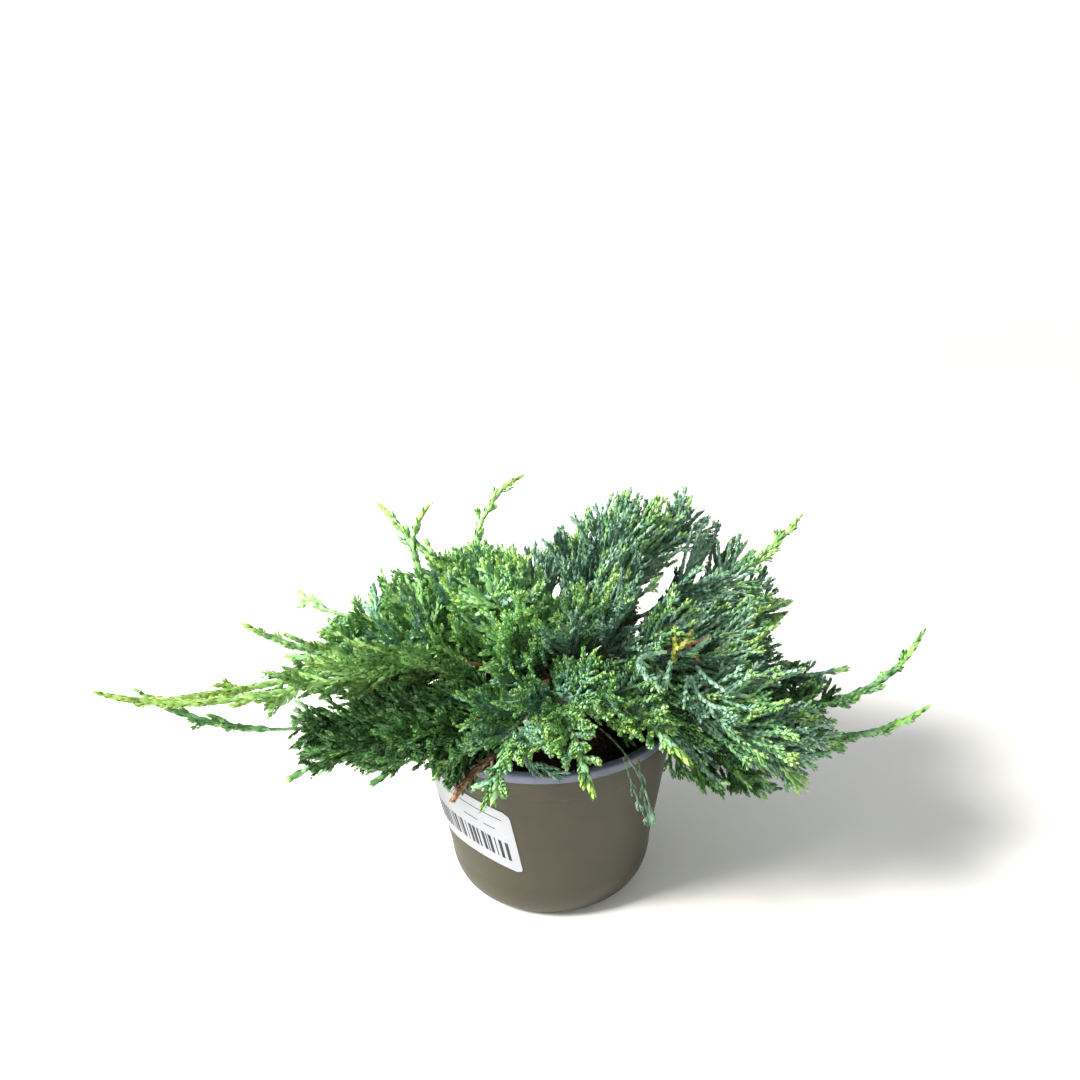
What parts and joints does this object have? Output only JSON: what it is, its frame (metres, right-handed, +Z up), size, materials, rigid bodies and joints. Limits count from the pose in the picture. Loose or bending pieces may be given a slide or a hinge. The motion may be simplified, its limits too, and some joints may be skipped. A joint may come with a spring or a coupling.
{
  "type": "potted creeping juniper",
  "caption": "Potted wiltonii creeping juniper: arching shoots with blue-green scale-leaved sprays spreading over a round nursery pot.",
  "frame": {"origin": "centre of the pot's flat underside", "axes": "+Z up along the pot's axis; -Y is the front, the side the picture shows; +X is the picture's right"},
  "size_m": [0.3816, 0.2721, 0.1956],
  "materials": {
    "pot_plastic": "matte injection-moulded olive-grey taupe plastic",
    "potting_soil": "dark moist peat, crumbly",
    "sticker_paper": "white satin label stock",
    "bark": "thin flaking red-brown bark",
    "deadwood": "dry orange-brown wood with peeling bark",
    "foliage_blue_green": "blue-green scale leaves with a waxy bloom",
    "foliage_green": "fresh green scale leaves with lighter tips",
    "foliage_deep_green": "deep green scale leaves of the lower sprays",
    "foliage_leader_green": "pale yellow-green young leaders and tips",
    "foliage_grey_green": "grey-green hanging shoots"
  },
  "bodies": {
    "root": {"pot": "pot_plastic", "soil": "potting_soil", "sticker": "sticker_paper", "trunk": "bark", "cut_stem": "deadwood", "dry_twig": "deadwood", "left_leader_bough": "bark", "left_low_leader_bough": "bark", "left_bush_bough": "bark", "left_high_bush_bough": "bark", "left_back_leader_bough": "bark", "left_skirt_bough": "bark", "front_left_spray_bough": "bark", "front_spray_bough": "bark", "front_right_spray_bough": "bark", "top_right_fan_bough": "bark", "back_right_leader_bough": "bark", "right_high_fan_bough": "bark", "right_fan_bough": "bark", "right_leader_bough": "bark", "right_low_leader_bough": "bark", "right_front_spray_bough": "bark", "back_fan_bough": "bark", "back_right_fan_bough": "bark", "back_left_fan_bough": "bark", "back_left_skirt_bough": "bark", "back_right_skirt_bough": "bark", "left_leader": "foliage_leader_green", "left_twin_leader": "foliage_leader_green", "left_low_leader": "foliage_deep_green", "left_bush": "foliage_green", "left_high_bush": "foliage_green", "left_back_leader": "foliage_green", "left_upright_leader": "foliage_green", "top_leader": "foliage_green", "left_skirt": "foliage_deep_green", "left_under_spray": "foliage_deep_green", "front_left_spray": "foliage_green", "centre_bush": "foliage_green", "front_spray": "foliage_green", "front_right_spray": "foliage_green", "hanging_twig": "foliage_grey_green", "centre_right_spray": "foliage_blue_green", "top_fan": "foliage_blue_green", "top_right_fan": "foliage_blue_green", "back_right_leader": "foliage_blue_green", "right_high_fan": "foliage_blue_green", "right_fan": "foliage_blue_green", "right_leader": "foliage_deep_green", "right_low_leader": "foliage_deep_green", "right_front_spray": "foliage_blue_green", "right_under_spray": "foliage_deep_green", "back_fan": "foliage_blue_green", "back_right_fan": "foliage_blue_green", "back_left_fan": "foliage_green", "back_left_skirt": "foliage_deep_green", "back_right_skirt": "foliage_deep_green"}
  },
  "joints": []
}
